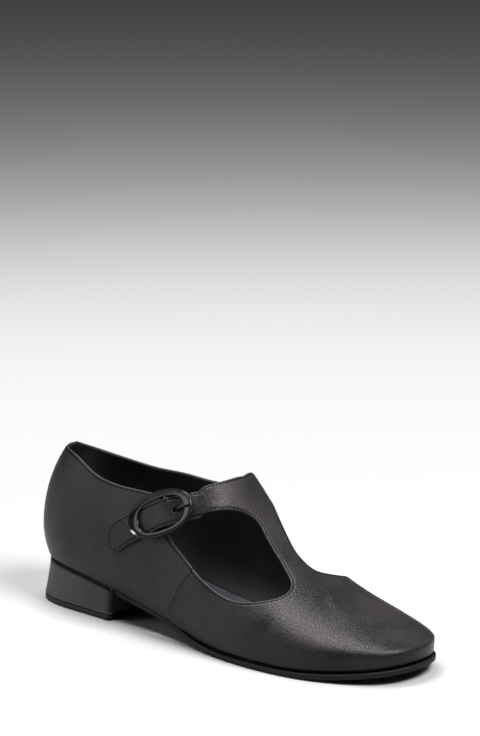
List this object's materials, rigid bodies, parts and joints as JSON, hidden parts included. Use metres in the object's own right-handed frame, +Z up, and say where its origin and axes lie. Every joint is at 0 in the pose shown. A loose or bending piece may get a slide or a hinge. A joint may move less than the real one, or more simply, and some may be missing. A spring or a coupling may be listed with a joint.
{
  "type": "t strap shoe",
  "caption": "Low block-heeled shoe with a centre bar between side cut-outs and an instep strap that buckles on the outer side.",
  "frame": {"origin": "middle of the shoe's bounding box, on the floor", "axes": "+X towards the toe, +Y towards the inner side of the foot, +Z up"},
  "size_m": [0.2534, 0.0846, 0.0877],
  "materials": {
    "upper_leather": "fine grained black leather, soft broad gloss",
    "lining": "smooth black lining leather, faint sheen",
    "sole_rubber": "matte black",
    "heel_cover": "matte dark warm grey",
    "lift_rubber": "matte black",
    "buckle_metal": "gloss black lacquer"
  },
  "bodies": {
    "root": {"upper": "upper_leather", "insole": "lining", "outsole": "sole_rubber", "heel_block": "heel_cover", "top_lift": "lift_rubber", "buckle_frame": "buckle_metal", "buckle_prong": "buckle_metal"}
  },
  "joints": []
}
